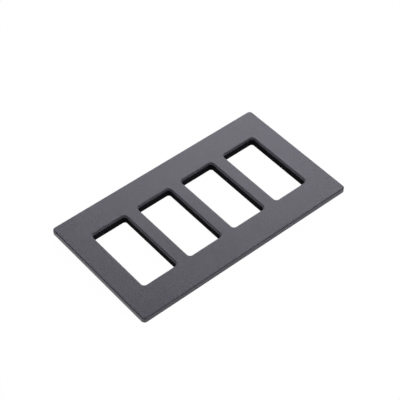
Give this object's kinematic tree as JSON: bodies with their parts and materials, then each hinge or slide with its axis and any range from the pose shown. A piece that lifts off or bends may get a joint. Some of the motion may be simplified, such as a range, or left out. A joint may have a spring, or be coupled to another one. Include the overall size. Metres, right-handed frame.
{
  "type": "wall plate",
  "caption": "Screwless wall plate for a row of rocker devices: charcoal snap-fit cover with tall rectangular openings over a black sub-plate with its screws.",
  "frame": {"origin": "middle of the back plane, on which the sub-plate rests on the wall or a table", "axes": "+X along the plate's long side, +Y towards a long edge, +Z out of the face"},
  "size_m": [0.2128, 0.119, 0.0095],
  "materials": {
    "cover_plastic": "fine matte, charcoal grey",
    "sub_plate_plastic": "plain moulded black",
    "screw_steel": "zinc plated"
  },
  "bodies": {
    "root": {"front_cover": "cover_plastic", "sub_plate": "sub_plate_plastic", "top_screw_1": "screw_steel", "top_screw_2": "screw_steel", "top_screw_3": "screw_steel", "top_screw_4": "screw_steel", "bottom_screw_1": "screw_steel", "bottom_screw_2": "screw_steel", "bottom_screw_3": "screw_steel", "bottom_screw_4": "screw_steel"}
  },
  "joints": []
}
